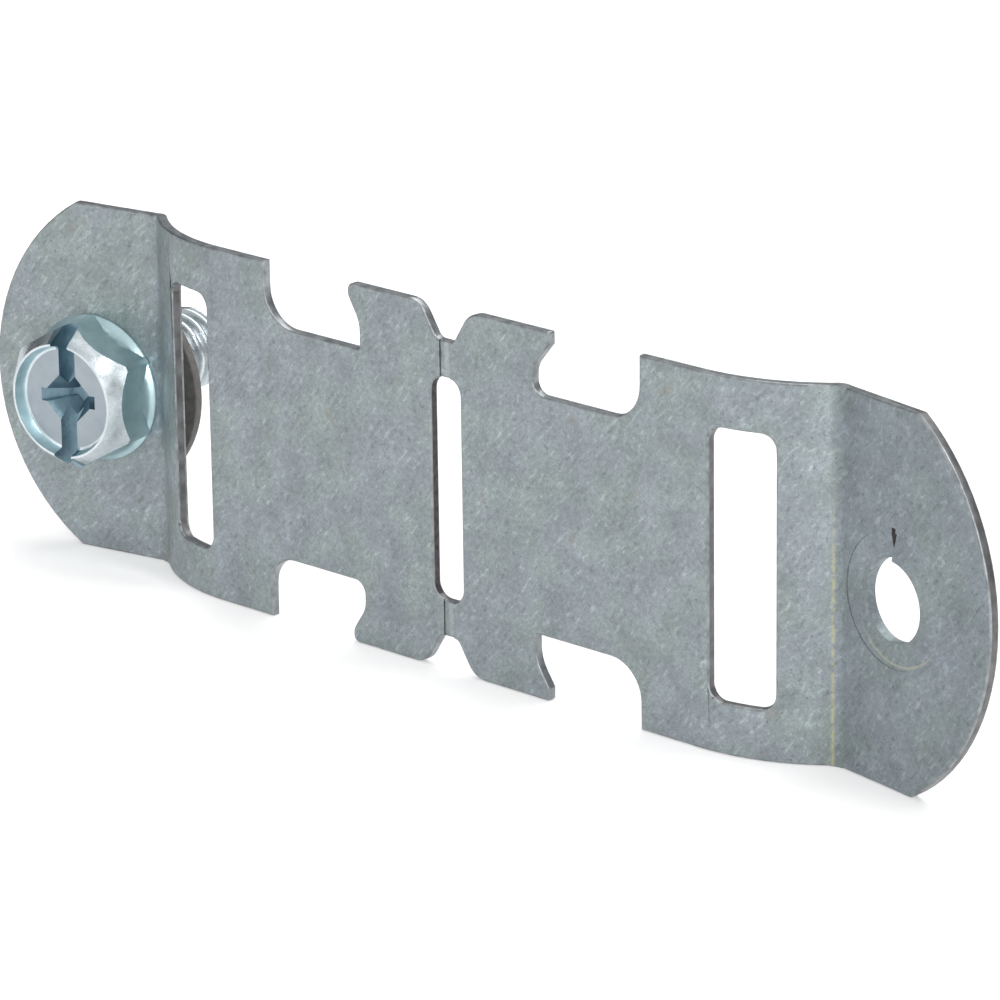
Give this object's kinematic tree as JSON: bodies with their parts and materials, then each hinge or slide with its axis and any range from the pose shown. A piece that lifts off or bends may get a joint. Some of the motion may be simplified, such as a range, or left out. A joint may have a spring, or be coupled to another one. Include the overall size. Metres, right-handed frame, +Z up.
{
  "type": "conduit clamp",
  "caption": "Stamped and folded sheet steel conduit clamp for slotted channel, laid open, with hooked necks, side slots, a captive combination machine screw and a tab with a threaded hole.",
  "frame": {"origin": "middle of the flat panel, half way through the sheet, in the centre of the neck section that goes into the channel", "axes": "+X along the strap to the tab with the threaded hole, +Y to the back, the side that closes on the conduit, +Z up across the strap's width"},
  "size_m": [0.1182, 0.0226, 0.0334],
  "materials": {
    "galvanised_sheet": "mottled galvanised",
    "bright_zinc": "bright zinc plate",
    "dark_fibre": "matt"
  },
  "bodies": {
    "strap": {"strap": "galvanised_sheet"},
    "washer": {"retaining_washer": "dark_fibre"},
    "screw": {"screw": "bright_zinc"}
  },
  "joints": [
    {"name": "screw_slide", "type": "slide", "parent": "strap", "child": "washer", "axis": [0.1788, -0.9839, 0], "range_m": [0, 0.0004]},
    {"name": "screw_turn", "type": "hinge", "parent": "washer", "child": "screw", "pos_m": [-0.04789, 0.00297, -0.0008], "axis": [0.1788, -0.9839, 0], "continuous": true}
  ]
}
